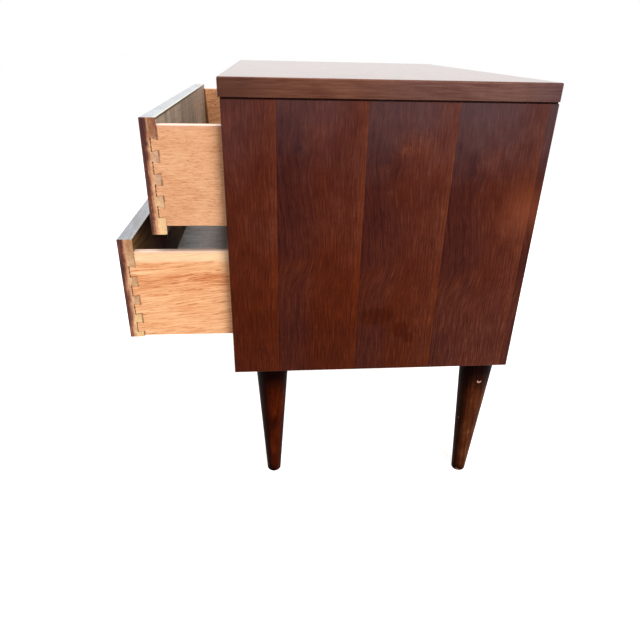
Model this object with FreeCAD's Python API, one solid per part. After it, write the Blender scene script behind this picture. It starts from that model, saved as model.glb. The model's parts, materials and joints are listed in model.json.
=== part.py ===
import FreeCAD, Part

import math
import os

# Two-drawer nightstand in walnut veneer on four turned legs, in millimetres.
# +X is to the right seen from the front, +Y towards the wall, +Z up.
# Both drawers stand partly open.
# The pieces are built with y = 0 on the front edges of the side panels and z = 0 on the floor,
# and are then moved along Y so that the origin is under the middle of the whole footprint.

# Overall sizes
TOP_WIDTH = 600.0
TOP_DEPTH = 400.0
TOP_THICKNESS = 21.0
OVERALL_HEIGHT = 602.0
LEG_LENGTH = 218.0

# Top slab and its overhang
TOP_SIDE_OVERHANG = 2.0
TOP_FRONT_OVERHANG = 2.5
TOP_CORNER_RADIUS = 3.0
TOP_EDGE_RADIUS = 2.0
REVEAL_HEIGHT = 2.0
REVEAL_DEPTH = 3.0

# Case
CASE_WIDTH = TOP_WIDTH - 2 * TOP_SIDE_OVERHANG
CASE_DEPTH = 397.0
CASE_BOTTOM = LEG_LENGTH
CASE_TOP = OVERALL_HEIGHT - TOP_THICKNESS
PANEL_THICKNESS = 19.0
PANEL_EDGE_RADIUS = 1.0
INNER_HALF_WIDTH = CASE_WIDTH / 2 - PANEL_THICKNESS
BACK_THICKNESS = 6.0
BACK_REBATE_WIDTH = 9.0
INSIDE_BACK = CASE_DEPTH - BACK_THICKNESS
BOTTOM_TONGUE = 10.0
DADO_DEPTH = 4.0

# Drawer fronts, measured from the underside of the case
DRAWER_FRONT_HEIGHT = 141.0
UPPER_FRONT_BOTTOM = CASE_BOTTOM + 197.0
LOWER_FRONT_BOTTOM = CASE_BOTTOM + 50.0
UPPER_SIDE_BOTTOM = CASE_BOTTOM + 208.5
LOWER_SIDE_BOTTOM = CASE_BOTTOM + 52.5
UPPER_REST_OPENING = 96.0
LOWER_REST_OPENING = 141.5

# Drawer boxes
DRAWER_HALF_WIDTH = INNER_HALF_WIDTH - 1.0
FRONT_THICKNESS = 19.5
FRONT_LOWER_EDGE_RADIUS = 2.0
FRONT_FACE_EDGE_RADIUS = 1.0
SIDE_THICKNESS = 11.0
SIDE_HEIGHT = 122.0
SIDE_REAR = 344.5
SIDE_TOP_EDGE_RADIUS = 2.0
BOTTOM_THICKNESS = 6.0
BOTTOM_EDGE_THICKNESS = 4.0
BOTTOM_INSET = 10.0
GROOVE_DEPTH = 5.0
BOARD_PLAY = 0.3
DRAWER_BACK_THICKNESS = 12.0
DRAWER_BACK_FRONT = 322.5
DRAWER_BACK_REAR = DRAWER_BACK_FRONT + DRAWER_BACK_THICKNESS
DRAWER_BACK_DROP = 6.0

# Half-blind dovetails at the front corners
TAIL_COUNT = 4
TAIL_PITCH = 27.0
TAIL_LENGTH = 8.0
TAIL_TIP_WIDTH = 15.0
TAIL_ROOT_WIDTH = 12.0
SOCKET_GAP = 0.9
UPPER_FIRST_TAIL_DROP = 23.5
LOWER_FIRST_TAIL_DROP = 28.0

# Rails, runners and kickers
FRONT_RAIL_DEPTH = 72.0
TOP_RAIL_HEIGHT = 22.5
TOP_RAIL_FACING = 4.0
BACK_RAIL_DEPTH = 40.0
WEB_THICKNESS = 20.0
WEB_TOP = UPPER_SIDE_BOTTOM - 0.5
WEB_BOTTOM = WEB_TOP - WEB_THICKNESS
DIVIDER_SETBACK = 21.5
RUNNER_WIDTH = 40.0
KICKER_WIDTH = 22.0
KICKER_GAP = 1.5
LOWER_RUNNER_HEIGHT = 20.0
LOWER_RUNNER_TOP = LOWER_SIDE_BOTTOM - 0.5
BASE_RAIL_THICKNESS = 19.0
DRAWER_FRONT_GAP = 2.5

# Centre guides: a strip on the case between two cheeks under each drawer
GUIDE_WIDTH = 18.0
GUIDE_FRONT = 27.5
GUIDE_REAR = 347.5
GUIDE_HEADROOM = 3.0
CHEEK_GAP = 0.8
CHEEK_WIDTH = 10.0
CHEEK_DROP = 9.0
CHEEK_REAR = 317.5

# Stops: blocks behind the closed drawer, tabs that catch a front rail when it is fully open
CLOSING_STOP_GAP = 0.3
CLOSING_STOP_SIZE = (12.0, 15.0, 12.0)
STOP_TAB_OFFSET = 150.0
STOP_TAB_WIDTH = 20.0
STOP_TAB_THICKNESS = 6.0
STOP_TAB_FOOT = 25.0
UPPER_TAB_TOP = CASE_TOP - 13.0
LOWER_TAB_TOP = WEB_TOP - 10.0

# Legs and the bolts that hold them from inside the case
LEG_TOP_RADIUS = 25.0
LEG_FOOT_RADIUS = 10.6
LEG_FOOT_ROUNDING = 3.0
LEG_FOOT_STEPS = 3
FRONT_LEG_X = CASE_WIDTH / 2 - 46.0
FRONT_LEG_Y = 52.5
BACK_LEG_X = CASE_WIDTH / 2 - 28.0
BACK_LEG_Y = 363.0
BOLT_RADIUS = 4.0
BOLT_IN_LEG = 38.0
BOLT_HEAD_RADIUS = 7.5
BOLT_HEAD_HEIGHT = 5.3

# Bow pulls
PULL_LENGTH = 130.0
PULL_REACH = 24.0
PULL_HEIGHT = 16.0
PULL_HOLLOW_LENGTH = 80.0
PULL_HOLLOW_DEPTH = 12.0

# The footprint runs from the lower drawer's pull to the back edge of the top.
FOOTPRINT_FRONT = -LOWER_REST_OPENING - PULL_REACH
FOOTPRINT_BACK = TOP_DEPTH - TOP_FRONT_OVERHANG
ORIGIN_Y = (FOOTPRINT_FRONT + FOOTPRINT_BACK) / 2

X_AXIS = FreeCAD.Vector(1, 0, 0)
Y_AXIS = FreeCAD.Vector(0, 1, 0)
Z_AXIS = FreeCAD.Vector(0, 0, 1)
OUT = "parts"


def point(x, y, z):
    return FreeCAD.Vector(x, y, z)


def board(x_range, y_range, z_range):
    """A rectangular board between two values on each axis."""
    sizes = [high - low for low, high in (x_range, y_range, z_range)]
    return Part.makeBox(*sizes, point(x_range[0], y_range[0], z_range[0]))


def centred(width):
    return (-width / 2, width / 2)


def other_side(shape):
    """The same piece mirrored to the left half of the nightstand."""
    return shape.mirror(point(0, 0, 0), X_AXIS)


def extruded(outline, direction):
    """A solid from a closed outline of points, extruded along a vector."""
    return Part.Face(Part.makePolygon(outline + outline[:1])).extrude(direction)


def rounded(shape, radius, wanted):
    """Fillets the edges whose bounding box satisfies a test."""
    return shape.makeFillet(radius, [edge for edge in shape.Edges if wanted(edge.BoundBox)])


def is_upright(box):
    return box.ZLength > 1 and box.XLength < 0.01 and box.YLength < 0.01


def flat_at(height):
    return lambda box: abs(box.ZMin - height) < 0.01 and abs(box.ZMax - height) < 0.01


# Case


def top_slab():
    slab = board(centred(TOP_WIDTH), (-TOP_FRONT_OVERHANG, FOOTPRINT_BACK), (CASE_TOP, OVERALL_HEIGHT))
    slab = rounded(slab, TOP_CORNER_RADIUS, is_upright)
    return rounded(slab, TOP_EDGE_RADIUS, flat_at(OVERALL_HEIGHT))


def side_panel_right():
    """Front-view profile with the reveal under the top, run from front to back and then housed out."""
    outer = CASE_WIDTH / 2
    inner = INNER_HALF_WIDTH
    profile = [
        point(outer, 0, CASE_BOTTOM),
        point(outer, 0, CASE_TOP - REVEAL_HEIGHT),
        point(outer - REVEAL_DEPTH, 0, CASE_TOP - REVEAL_HEIGHT),
        point(outer - REVEAL_DEPTH, 0, CASE_TOP),
        point(inner, 0, CASE_TOP),
        point(inner, 0, CASE_BOTTOM),
    ]
    panel = extruded(profile, Y_AXIS * CASE_DEPTH)

    def outer_edge(box):
        at_face = abs(box.XMin - outer) < 0.01 and abs(box.XMax - outer) < 0.01
        return at_face and box.ZMax < CASE_TOP - REVEAL_HEIGHT + 0.01 and box.YMin < CASE_DEPTH - 1

    panel = rounded(panel, PANEL_EDGE_RADIUS, outer_edge)
    dado = board((inner, inner + DADO_DEPTH), (DIVIDER_SETBACK, INSIDE_BACK), (WEB_BOTTOM, WEB_TOP))
    rebate = board((inner, inner + BACK_REBATE_WIDTH), (INSIDE_BACK, CASE_DEPTH), (CASE_BOTTOM, CASE_TOP))
    rabbet = board(
        (inner, inner + BOTTOM_TONGUE),
        (BASE_RAIL_THICKNESS, INSIDE_BACK),
        (CASE_BOTTOM, CASE_BOTTOM + PANEL_THICKNESS),
    )
    return panel.cut(dado).cut(rebate).cut(rabbet)


def leg_places():
    """Name and place of each leg."""
    places = []
    for side, sign in (("left", -1), ("right", 1)):
        places.append((f"leg_front_{side}", sign * FRONT_LEG_X, FRONT_LEG_Y))
        places.append((f"leg_back_{side}", sign * BACK_LEG_X, BACK_LEG_Y))
    return places


def leg(x, y):
    """A turned leg: straight taper with a rounded foot, bored from the top for its bolt."""
    bore_bottom = LEG_LENGTH - BOLT_IN_LEG
    outline = [
        point(0, 0, bore_bottom),
        point(BOLT_RADIUS, 0, bore_bottom),
        point(BOLT_RADIUS, 0, LEG_LENGTH),
        point(LEG_TOP_RADIUS, 0, LEG_LENGTH),
    ]
    for step in range(LEG_FOOT_STEPS + 1):
        turn = math.radians(90 * step / LEG_FOOT_STEPS)
        inset = LEG_FOOT_ROUNDING * (1 - math.cos(turn))
        rise = LEG_FOOT_ROUNDING * (1 - math.sin(turn))
        outline.append(point(LEG_FOOT_RADIUS - inset, 0, rise))
    outline.append(point(0, 0, 0))
    turned = Part.Face(Part.makePolygon(outline + outline[:1])).revolve(point(0, 0, 0), Z_AXIS, 360)
    turned.translate(point(x, y, 0))
    return turned


def leg_bolt(x, y):
    """Bolt from inside the leg through the bottom panel, with its hexagon head on the panel."""
    panel_top = CASE_BOTTOM + PANEL_THICKNESS
    turns = [math.radians(60 * number) for number in range(6)]
    radius = BOLT_HEAD_RADIUS
    corners = [point(x + radius * math.cos(t), y + radius * math.sin(t), panel_top) for t in turns]
    length = BOLT_IN_LEG + PANEL_THICKNESS
    shank = Part.makeCylinder(BOLT_RADIUS, length, point(x, y, panel_top - length))
    return shank.fuse(extruded(corners, Z_AXIS * BOLT_HEAD_HEIGHT))


def bottom_panel():
    """Bottom panel, housed in the sides behind the base rail and bored for the leg bolts."""
    half = INNER_HALF_WIDTH + BOTTOM_TONGUE
    depth = (BASE_RAIL_THICKNESS, INSIDE_BACK)
    panel = board((-half, half), depth, (CASE_BOTTOM, CASE_BOTTOM + PANEL_THICKNESS))
    for _, x, y in leg_places():
        panel = panel.cut(leg_bolt(x, y))
    return panel


def back_panel():
    half = INNER_HALF_WIDTH + BACK_REBATE_WIDTH
    return board((-half, half), (INSIDE_BACK, CASE_DEPTH), (CASE_BOTTOM, CASE_TOP))


def closing_stop(x, runner_top):
    """A block on the runner that the drawer side meets when the drawer is shut."""
    width, depth, height = CLOSING_STOP_SIZE
    front = SIDE_REAR + CLOSING_STOP_GAP
    return board((x - width / 2, x + width / 2), (front, front + depth), (runner_top, runner_top + height))


def case_pieces():
    """Every piece of the case: name to solid."""
    inside = (-INNER_HALF_WIDTH, INNER_HALF_WIDTH)
    housed = (-INNER_HALF_WIDTH - DADO_DEPTH, INNER_HALF_WIDTH + DADO_DEPTH)
    back_rail = (INSIDE_BACK - BACK_RAIL_DEPTH, INSIDE_BACK)
    between_rails = (FRONT_RAIL_DEPTH, back_rail[0])
    top_rail = (CASE_TOP - TOP_RAIL_HEIGHT, CASE_TOP)
    web = (WEB_BOTTOM, WEB_TOP)
    kicker = (INNER_HALF_WIDTH - KICKER_WIDTH, INNER_HALF_WIDTH)
    runner = (INNER_HALF_WIDTH - RUNNER_WIDTH, INNER_HALF_WIDTH + DADO_DEPTH)
    floor_top = CASE_BOTTOM + PANEL_THICKNESS
    lower_kicker_bottom = LOWER_SIDE_BOTTOM + SIDE_HEIGHT + KICKER_GAP
    guide_length = (GUIDE_FRONT, GUIDE_REAR)

    pieces = {
        "top_slab": top_slab(),
        "bottom_panel": bottom_panel(),
        "back_panel": back_panel(),
        "top_rail_facing": board(inside, (0, TOP_RAIL_FACING), top_rail),
        "top_front_rail": board(inside, (TOP_RAIL_FACING, FRONT_RAIL_DEPTH), top_rail),
        "top_back_rail": board(inside, back_rail, top_rail),
        "divider_front_rail": board(housed, (DIVIDER_SETBACK, FRONT_RAIL_DEPTH), web),
        "divider_back_rail": board(housed, back_rail, web),
        "upper_centre_rail": board(centred(RUNNER_WIDTH), between_rails, web),
        "upper_guide": board(
            centred(GUIDE_WIDTH), guide_length, (WEB_TOP, UPPER_SIDE_BOTTOM + BOTTOM_INSET - GUIDE_HEADROOM)
        ),
        "lower_guide": board(
            centred(GUIDE_WIDTH), guide_length, (floor_top, LOWER_SIDE_BOTTOM + BOTTOM_INSET - GUIDE_HEADROOM)
        ),
        "base_front_rail": board(
            inside, (0, BASE_RAIL_THICKNESS), (CASE_BOTTOM, LOWER_FRONT_BOTTOM - DRAWER_FRONT_GAP)
        ),
    }
    right_pieces = {
        "side_panel": side_panel_right(),
        "upper_runner": board(runner, between_rails, web),
        "lower_runner": board(
            kicker, (DIVIDER_SETBACK, INSIDE_BACK), (LOWER_RUNNER_TOP - LOWER_RUNNER_HEIGHT, LOWER_RUNNER_TOP)
        ),
        "top_kicker": board(kicker, between_rails, (UPPER_SIDE_BOTTOM + SIDE_HEIGHT + KICKER_GAP, CASE_TOP)),
        "mid_kicker": board(kicker, (DIVIDER_SETBACK, back_rail[0]), (lower_kicker_bottom, WEB_BOTTOM)),
    }
    for name, shape in right_pieces.items():
        pieces[f"{name}_right"] = shape
        pieces[f"{name}_left"] = other_side(shape)

    for name, x, y in leg_places():
        pieces[name] = leg(x, y)
    pieces["leg_bolts"] = Part.makeCompound([leg_bolt(x, y) for _, x, y in leg_places()])

    stop_x = DRAWER_HALF_WIDTH - SIDE_THICKNESS / 2
    stops = [closing_stop(sign * stop_x, top) for sign in (-1, 1) for top in (WEB_TOP, LOWER_RUNNER_TOP)]
    pieces["closing_stops"] = Part.makeCompound(stops)
    return pieces


# Drawers


def tail_levels(side_bottom, first_tail_drop):
    """Heights of the middles of the tails, from the top one down."""
    top = side_bottom + SIDE_HEIGHT - first_tail_drop
    return [top - number * TAIL_PITCH for number in range(TAIL_COUNT)]


def tail_corners(level, length):
    """Side view of one tail, from its lower root round its tip to its upper root."""
    slope = (TAIL_TIP_WIDTH - TAIL_ROOT_WIDTH) / 2 / TAIL_LENGTH
    root = TAIL_ROOT_WIDTH / 2
    tip = root + slope * length
    front = FRONT_THICKNESS - length
    return [
        point(0, FRONT_THICKNESS, level - root),
        point(0, front, level - tip),
        point(0, front, level + tip),
        point(0, FRONT_THICKNESS, level + root),
    ]


def bottom_board(side_bottom):
    """Bottom board, thinned all round to a tongue that fits the grooves and runs under the back board."""
    field_half = DRAWER_HALF_WIDTH - SIDE_THICKNESS - BOARD_PLAY
    field_length = (FRONT_THICKNESS + BOARD_PLAY, DRAWER_BACK_FRONT - BOARD_PLAY)
    half = field_half + GROOVE_DEPTH
    front = field_length[0] - GROOVE_DEPTH
    level = side_bottom + BOTTOM_INSET
    tongue = board((-half, half), (front, DRAWER_BACK_REAR), (level, level + BOTTOM_EDGE_THICKNESS))
    field = board((-field_half, field_half), field_length, (level, level + BOTTOM_THICKNESS))
    return tongue.fuse(field).removeSplitter()


def groove(side_bottom):
    """The space that the bottom board's tongue slides into, in the front and in both sides."""
    half = DRAWER_HALF_WIDTH - SIDE_THICKNESS + GROOVE_DEPTH
    level = side_bottom + BOTTOM_INSET
    front = FRONT_THICKNESS - GROOVE_DEPTH
    return board((-half, half), (front, SIDE_REAR), (level, level + BOTTOM_EDGE_THICKNESS))


def drawer_front(front_bottom, side_bottom, levels):
    """Thick front board with a socket for every tail and a groove for the bottom."""
    half = DRAWER_HALF_WIDTH
    top = front_bottom + DRAWER_FRONT_HEIGHT
    front = board((-half, half), (0, FRONT_THICKNESS), (front_bottom, top))

    def lower_inner_edge(box):
        return box.ZMax < front_bottom + 0.01 and box.YMin > FRONT_THICKNESS - 0.01

    def long_face_edge(box):
        return box.YMax < 0.01 and box.XLength > half

    front = rounded(front, FRONT_LOWER_EDGE_RADIUS, lower_inner_edge)
    front = rounded(front, FRONT_FACE_EDGE_RADIUS, long_face_edge)
    for level in levels:
        socket = extruded(tail_corners(level, TAIL_LENGTH + SOCKET_GAP), X_AXIS * SIDE_THICKNESS)
        socket.translate(point(half - SIDE_THICKNESS, 0, 0))
        front = front.cut(socket).cut(other_side(socket))
    return front.cut(groove(side_bottom))


def drawer_side_right(side_bottom, levels):
    """Side board outlined with its tails, with a groove for the bottom and a dado for the back."""
    top = side_bottom + SIDE_HEIGHT
    outline = [point(0, FRONT_THICKNESS, side_bottom)]
    for level in reversed(levels):
        outline += tail_corners(level, TAIL_LENGTH)
    outline += [
        point(0, FRONT_THICKNESS, top),
        point(0, SIDE_REAR, top),
        point(0, SIDE_REAR, side_bottom),
    ]
    side = extruded(outline, X_AXIS * SIDE_THICKNESS)

    def long_top_edge(box):
        return box.ZMin > top - 0.01 and box.YLength > SIDE_HEIGHT

    side = rounded(side, SIDE_TOP_EDGE_RADIUS, long_top_edge)
    side.translate(point(DRAWER_HALF_WIDTH - SIDE_THICKNESS, 0, 0))
    return side.cut(groove(side_bottom)).cut(drawer_back(side_bottom))


def drawer_back(side_bottom):
    """Back board housed in the sides and standing on the bottom board's tongue."""
    half = DRAWER_HALF_WIDTH - SIDE_THICKNESS + DADO_DEPTH
    low = side_bottom + BOTTOM_INSET + BOTTOM_EDGE_THICKNESS
    high = side_bottom + SIDE_HEIGHT - DRAWER_BACK_DROP
    return board((-half, half), (DRAWER_BACK_FRONT, DRAWER_BACK_REAR), (low, high))


def guide_cheek_right(side_bottom):
    """Strip under the bottom board that keeps the drawer straight on the centre guide."""
    inner = GUIDE_WIDTH / 2 + CHEEK_GAP
    level = side_bottom + BOTTOM_INSET
    return board((inner, inner + CHEEK_WIDTH), (GUIDE_FRONT, CHEEK_REAR), (level - CHEEK_DROP, level))


def stop_tab(x, side_bottom, tab_top):
    """Tab behind the back board that meets a front rail when the drawer is fully open."""
    low = side_bottom + SIDE_HEIGHT - DRAWER_BACK_DROP - STOP_TAB_FOOT
    x_range = (x - STOP_TAB_WIDTH / 2, x + STOP_TAB_WIDTH / 2)
    y_range = (DRAWER_BACK_REAR, DRAWER_BACK_REAR + STOP_TAB_THICKNESS)
    return board(x_range, y_range, (low, tab_top))


def arc_face(length, reach):
    """Plan of a bow: an arc of the given length and reach, closed by its chord."""
    ends = (point(-length / 2, 0, 0), point(length / 2, 0, 0))
    bow = Part.Arc(ends[0], point(0, -reach, 0), ends[1]).toShape()
    return Part.Face(Part.Wire([bow, Part.makeLine(ends[1], ends[0])]))


def pull(middle):
    """Bow pull: a curved bar with a hollow behind it for the fingers."""
    plan = arc_face(PULL_LENGTH, PULL_REACH).cut(arc_face(PULL_HOLLOW_LENGTH, PULL_HOLLOW_DEPTH))
    bow = plan.extrude(Z_AXIS * PULL_HEIGHT)
    bow.translate(point(0, 0, middle - PULL_HEIGHT / 2))
    return bow


def drawer_pieces(prefix, front_bottom, side_bottom, first_tail_drop, tab_top):
    """Every piece of one closed drawer: name to solid."""
    levels = tail_levels(side_bottom, first_tail_drop)
    middle = front_bottom + DRAWER_FRONT_HEIGHT / 2
    tabs = [stop_tab(x, side_bottom, tab_top) for x in (-STOP_TAB_OFFSET, STOP_TAB_OFFSET)]
    side = drawer_side_right(side_bottom, levels)
    cheek = guide_cheek_right(side_bottom)
    pieces = {
        "front": drawer_front(front_bottom, side_bottom, levels),
        "side_right": side,
        "side_left": other_side(side),
        "back": drawer_back(side_bottom),
        "bottom": bottom_board(side_bottom),
        "guide_cheek_right": cheek,
        "guide_cheek_left": other_side(cheek),
        "stop_tabs": Part.makeCompound(tabs),
        "pull": pull(middle),
    }
    return {f"{prefix}_{name}": shape for name, shape in pieces.items()}


def moved(pieces, distance):
    """The pieces after a move along Y."""
    for shape in pieces.values():
        shape.translate(Y_AXIS * distance)
    return pieces


def nightstand():
    upper = drawer_pieces(
        "upper_drawer", UPPER_FRONT_BOTTOM, UPPER_SIDE_BOTTOM, UPPER_FIRST_TAIL_DROP, UPPER_TAB_TOP
    )
    lower = drawer_pieces(
        "lower_drawer", LOWER_FRONT_BOTTOM, LOWER_SIDE_BOTTOM, LOWER_FIRST_TAIL_DROP, LOWER_TAB_TOP
    )
    pieces = case_pieces()
    pieces.update(moved(upper, -UPPER_REST_OPENING))
    pieces.update(moved(lower, -LOWER_REST_OPENING))
    return moved(pieces, -ORIGIN_Y)


def main():
    os.makedirs(OUT, exist_ok=True)
    for name, shape in nightstand().items():
        shape.exportStep(os.path.join(OUT, f"{name}.step"))


main()
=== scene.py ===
import json
import math
import random
from collections import namedtuple

import bmesh
import bpy
from mathutils import Matrix, Vector


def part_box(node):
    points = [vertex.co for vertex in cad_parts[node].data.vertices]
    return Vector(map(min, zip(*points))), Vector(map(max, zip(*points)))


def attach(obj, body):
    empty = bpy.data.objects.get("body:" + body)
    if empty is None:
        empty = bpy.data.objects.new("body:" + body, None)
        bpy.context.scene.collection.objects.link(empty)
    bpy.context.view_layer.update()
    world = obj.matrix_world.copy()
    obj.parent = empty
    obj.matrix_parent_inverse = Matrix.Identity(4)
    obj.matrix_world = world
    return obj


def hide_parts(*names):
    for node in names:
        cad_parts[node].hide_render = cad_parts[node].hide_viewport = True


# Two-drawer walnut nightstand, dressed around its solids. Metres; +X right, +Y to the wall, +Z up.

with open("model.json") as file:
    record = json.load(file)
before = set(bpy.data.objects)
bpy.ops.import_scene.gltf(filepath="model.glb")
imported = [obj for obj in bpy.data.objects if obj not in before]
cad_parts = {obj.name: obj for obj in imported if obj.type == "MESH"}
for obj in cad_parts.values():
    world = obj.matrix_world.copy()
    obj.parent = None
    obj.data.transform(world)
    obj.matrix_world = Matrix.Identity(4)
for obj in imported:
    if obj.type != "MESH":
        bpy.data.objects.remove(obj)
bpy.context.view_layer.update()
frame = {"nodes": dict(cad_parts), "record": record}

SIDES = (("left", -1), ("right", 1))
MM = 0.001
WHITE = (1, 1, 1, 1)
AMBER = (1, 0.3, 0.15, 1)
HONEY = (1, 0.72, 0.5, 1)

# Dovetailed corners of the drawers
TAILS = 4
TAIL_PITCH = 0.027
TAIL_ROOT = 0.012
TAIL_FLARE = 0.0015
TAIL_LENGTH = 0.008
FRONT_THICKNESS = 0.0195
TAIL_TIP = FRONT_THICKNESS - TAIL_LENGTH
TIP_GAP = 0.0009

# What differs between the drawers: the drop of the first tail below the front's top edge, and how much the ends
# of the front darken towards the top, are tinted on their pins and stained at the top, and its inner arris is
# worn
Corner = namedtuple("Corner", "first_tail soiling pin_tint top_stain worn_arris")
CORNERS = {
    "upper_drawer": Corner(0.031, 0.42, (0.85, 0.9, 1.03), 0.9, 0.5),
    "lower_drawer": Corner(0.0445, 0.1, (0.85, 0.88, 0.86), 0.3, 0.12),
}

# Veneer of the side panels: leaves of one width, each slipped down from the one before, and a knot in each
LEAF_WIDTH = 0.1079
FIRST_SEAM = 0.0625
LEAF_SLIP = 0.0135
KNOT_ACROSS = 0.027
KNOT_HEIGHT = 0.5245
RING_TURNS = math.tau / 0.0092

# Turned legs
LEG_TOP_RADIUS = 0.025
LEG_FOOT_RADIUS = 0.0106
LEG_TAPER = 0.066
BACK_LEGS_FROM = 0.1

# Edges and points count as one place within these distances, and screw heads are sunk a little
MERGED = 1e-6
NEAR = 1e-5
SUNK = 0.2 * MM

Axes = namedtuple("Axes", "x y z")


# Shader arithmetic


class Field:
    """A value worked out by shader nodes, so that a pattern reads as ordinary arithmetic."""

    def __init__(self, tree, socket):
        self.tree = tree
        self.socket = socket

    def math(self, operation, *others):
        node = add_node(self.tree, "Math", dict(enumerate((self, *others))))
        node.operation = operation
        return Field(self.tree, node.outputs[0])

    def __add__(self, other):
        return self.math("ADD", other)

    def __sub__(self, other):
        return self.math("SUBTRACT", other)

    def __mul__(self, other):
        return self.math("MULTIPLY", other)

    def __truediv__(self, other):
        return self.math("DIVIDE", other)

    def inverse(self):
        """One less this value."""
        return (self * -1) + 1

    def hill(self, middle, width):
        """1 at the middle, falling smoothly to 0 at about twice the width."""
        away = (self - middle) / width
        return (away * away * -1).math("EXPONENT")

    def rise(self, low, high):
        """0 below low, 1 above high, smooth between."""
        node = add_node(self.tree, "MapRange", {"Value": self, "From Min": low, "From Max": high})
        node.interpolation_type = "SMOOTHSTEP"
        return Field(self.tree, node.outputs["Result"])

    def fall(self, low, high):
        """1 below low, 0 above high, smooth between."""
        return self.rise(low, high).inverse()

    def capped(self):
        return self.math("MAXIMUM", 0).math("MINIMUM", 1)


def feed(place, value):
    """Links a field or sets a plain value."""
    if isinstance(value, Field):
        value.tree.links.new(value.socket, place)
    else:
        place.default_value = value


def add_node(tree, kind, inputs):
    """A new node with its inputs fed, each by its title or place."""
    node = tree.nodes.new(f"ShaderNode{kind}")
    for title, value in inputs.items():
        feed(node.inputs[title], value)
    return node


def weigh(level, *parts):
    """A plain level with fields added to it, each by its own share."""
    total = level
    for field, share in parts:
        total = (field * share) + total
    return total


def join(x, y, z):
    """A vector from three parts, of which the first is a field."""
    return Field(x.tree, add_node(x.tree, "CombineXYZ", {"X": x, "Y": y, "Z": z}).outputs[0])


def split(vector):
    node = add_node(vector.tree, "SeparateXYZ", {"Vector": vector})
    return Axes(*[Field(vector.tree, output) for output in node.outputs])


def noise(x, y, z, detail=2, roughness=0.5):
    """Smooth noise between 0 and 1, mostly 0.3 to 0.7, one lump per unit."""
    inputs = {"Vector": join(x, y, z), "Scale": 1, "Detail": detail, "Roughness": roughness}
    return Field(x.tree, add_node(x.tree, "TexNoise", inputs).outputs["Fac"])


def swing(x, y, z, detail=2, roughness=0.5):
    """The same noise about 0."""
    return noise(x, y, z, detail, roughness) - 0.5


def tone(red, green, blue):
    """A colour from its screen values, 0 to 255."""
    channels = []
    for value in (red, green, blue):
        level = value / 255
        channels.append(level / 12.92 if level <= 0.04045 else ((level + 0.055) / 1.055) ** 2.4)
    return (*channels, 1)


def row(*stops):
    """Colour stops, each given as its place and its colour's screen values, in rising order."""
    return [(place, tone(*screen)) for place, *screen in stops]


def shades(value, stops):
    """A colour picked along a row of stops."""
    node = add_node(value.tree, "ValToRGB", {"Fac": value.capped()})
    ramp = node.color_ramp.elements
    for stop, (place, colour) in ((ramp[0], stops[0]), (ramp[1], stops[-1])):
        stop.position = place
        stop.color = colour
    for place, colour in stops[1:-1]:
        ramp.new(place).color = colour
    return Field(value.tree, node.outputs["Color"])


def blend(amount, first, second, way="MIX"):
    """The first colour, a field, taken over to the second by an amount."""
    node = add_node(first.tree, "Mix", {0: amount, 6: first, 7: second})
    node.data_type = "RGBA"
    node.blend_type = way
    return Field(first.tree, node.outputs[2])


def painted(colour, amount, red, green, blue):
    """A colour covered by paint, given in screen values."""
    return blend(amount, colour, tone(red, green, blue))


def tinted(colour, amount, red, green, blue):
    """A colour with its channels scaled."""
    return blend(amount, colour, (red, green, blue, 1), "MULTIPLY")


def raised(height, depth):
    """A normal bent by a height field of the given depth in metres."""
    node = add_node(height.tree, "Bump", {"Distance": depth, "Strength": 1, "Height": height})
    return Field(height.tree, node.outputs["Normal"])


def place_of(tree):
    """Object coordinates as three fields, in metres."""
    return split(Field(tree, add_node(tree, "TexCoord", {}).outputs["Object"]))


def new_group(name, inputs, outputs):
    """An empty node group, its input fields and its output node. An input is given as a title and a kind."""
    tree = bpy.data.node_groups.new(name, "ShaderNodeTree")
    for title, kind in inputs:
        tree.interface.new_socket(title, in_out="INPUT", socket_type=f"NodeSocket{kind}")
    for title in outputs:
        tree.interface.new_socket(title, in_out="OUTPUT", socket_type="NodeSocketFloat")
    entry = tree.nodes.new("NodeGroupInput")
    leave = tree.nodes.new("NodeGroupOutput")
    return tree, [Field(tree, entry.outputs[title]) for title, _ in inputs], leave


def use_group(tree, group, **values):
    """Places a group and returns its outputs by name."""
    node = tree.nodes.new("ShaderNodeGroup")
    node.node_tree = group
    for title, value in values.items():
        feed(node.inputs[title], value)
    return {output.name: Field(tree, output) for output in node.outputs}


def finish(name, colour, roughness, normal, coat=0, coat_roughness=0.1, shine=0.5, tint=WHITE, metallic=0):
    """A material from its colour, roughness and normal fields and its plain shader values."""
    tree = colour.tree
    inputs = {
        "Base Color": colour, "Roughness": roughness, "Normal": normal, "Metallic": metallic, "Coat Weight": coat,
        "Coat Roughness": coat_roughness, "Specular IOR Level": shine, "Specular Tint": tint,
    }
    show(tree, "Material", add_node(tree, "BsdfPrincipled", inputs))
    return bpy.data.materials[name]


def show(tree, kind, node):
    """Ends a tree with its output."""
    add_node(tree, f"Output{kind}", {"Surface": Field(tree, node.outputs[0])})


def new_material(name):
    material = bpy.data.materials.new(name)
    material.use_nodes = True
    material.node_tree.nodes.clear()
    return material.node_tree


# Colours of the finishes, from dark to pale


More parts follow.
